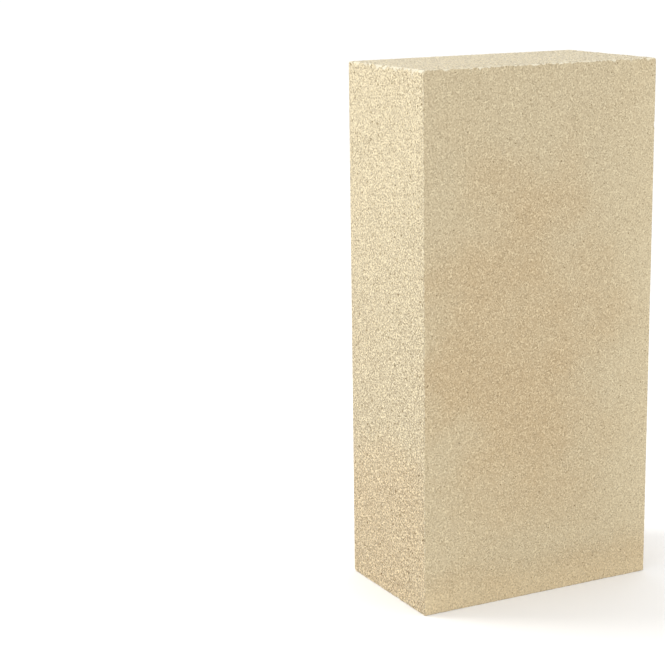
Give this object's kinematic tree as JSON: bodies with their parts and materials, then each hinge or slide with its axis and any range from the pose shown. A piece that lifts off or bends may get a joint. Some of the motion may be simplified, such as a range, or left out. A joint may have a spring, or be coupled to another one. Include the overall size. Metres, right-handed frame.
{
  "type": "refractory firebrick",
  "caption": "Plain rectangular insulating firebrick: a porous fired-clay block with flat ground faces and lightly worn arrises, for lining kilns, forges and furnaces.",
  "frame": {"origin": "middle of the end face that the brick stands on", "axes": "+Z along the brick's length, from the end it stands on to the other end; X across its width; Y through its thickness, from one large face to the other"},
  "size_m": [0.114, 0.064, 0.23],
  "materials": {
    "fired_clay": "matte, open-pored, cream to tan"
  },
  "bodies": {
    "root": {"firebrick": "fired_clay"}
  },
  "joints": []
}
